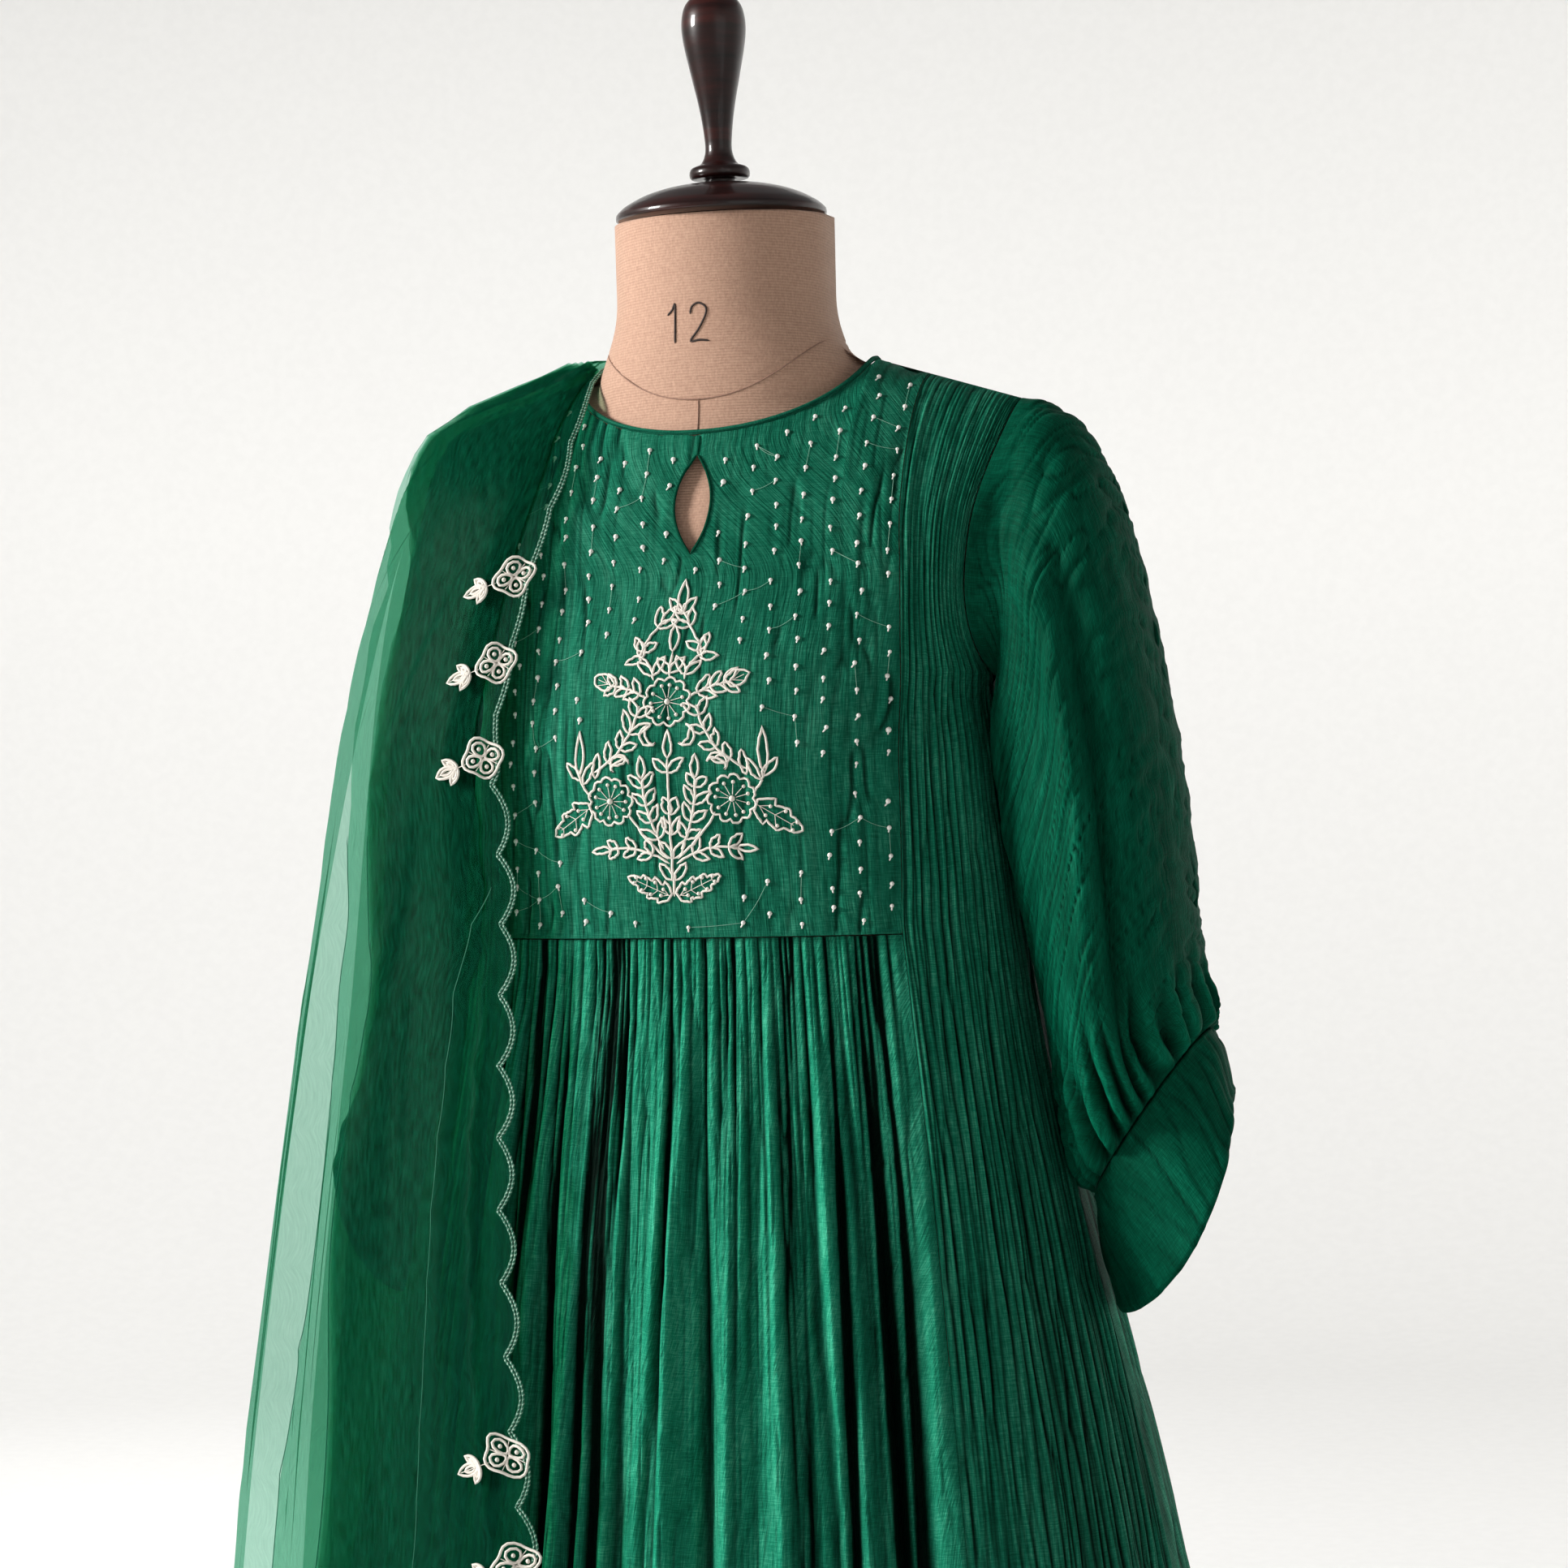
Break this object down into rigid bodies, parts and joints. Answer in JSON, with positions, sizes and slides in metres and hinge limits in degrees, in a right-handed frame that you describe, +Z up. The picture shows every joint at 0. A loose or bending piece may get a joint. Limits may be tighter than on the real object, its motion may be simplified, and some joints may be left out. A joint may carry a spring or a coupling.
{
  "type": "kurta set with dupatta on a dress form",
  "caption": "Calf-length crinkled kurta with an embroidered yoke, gathered skirt and cuffed sleeves, and a sheer scalloped dupatta over one shoulder, on a limbless dress form on a pole stand.",
  "frame": {"origin": "centre of the round base's underside, on the floor", "axes": "+Z up, the form faces -Y, +X towards the wearer's left"},
  "size_m": [0.667, 0.5357, 1.6348],
  "materials": {
    "cotton_silk": "crinkled cotton silk with a soft sheen",
    "organza": "sheer silk organza",
    "jersey": "finely ribbed knit",
    "dark_wood": "glossy turned and polished wood",
    "stand_paint": "satin paint"
  },
  "bodies": {
    "root": {"front_yoke": "cotton_silk", "front_skirt": "cotton_silk", "side_front_left": "cotton_silk", "side_front_right": "cotton_silk", "back_panel": "cotton_silk", "neck_binding": "cotton_silk", "sleeve_left": "cotton_silk", "sleeve_right": "cotton_silk", "cuff_left": "cotton_silk", "cuff_right": "cotton_silk", "dupatta": "organza", "form_torso": "jersey", "neck_cap": "dark_wood", "neck_finial": "dark_wood", "stand_pole": "stand_paint", "stand_base": "stand_paint"}
  },
  "joints": []
}
